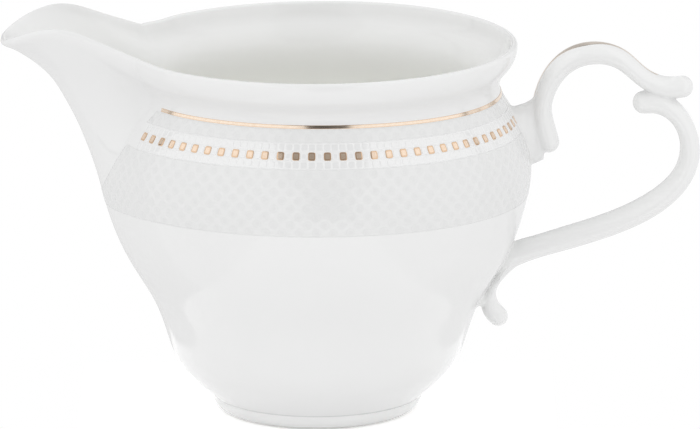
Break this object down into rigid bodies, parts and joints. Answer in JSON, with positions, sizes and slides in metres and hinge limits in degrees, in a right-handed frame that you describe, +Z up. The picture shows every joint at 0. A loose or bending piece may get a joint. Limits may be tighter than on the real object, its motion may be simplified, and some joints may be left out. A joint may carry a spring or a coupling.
{
  "type": "cream jug",
  "caption": "Footed porcelain cream jug with a broad pouring spout, scroll handle, raised net pattern and a gold-lined neck.",
  "frame": {"origin": "centre of the foot ring's sole, on the table", "axes": "+Z up, -X along the spout, +X along the handle, mirror plane Y = 0"},
  "size_m": [0.1464, 0.0898, 0.084],
  "materials": {
    "porcelain": "clear gloss glaze over white porcelain",
    "foot": "gloss glaze with an unglazed sole",
    "handle_porcelain": "clear gloss glaze over white porcelain",
    "seam": "glazed slip",
    "gold": "fired bright gold",
    "lustre": "white pearl lustre tiles",
    "net": "raised white net under gloss"
  },
  "bodies": {
    "root": {"jug_body": "porcelain", "foot_ring": "foot", "handle": "handle_porcelain", "upper_handle_seam": "seam", "lower_handle_seam": "seam", "tail_seam": "seam", "handle_gold_line": "gold", "gold_neck_line": "gold", "gold_squares": "gold", "white_squares": "lustre", "tile_ribbon_upper": "lustre", "tile_ribbon_lower": "lustre", "net_transfer_upper": "net", "net_transfer_lower": "net"}
  },
  "joints": []
}
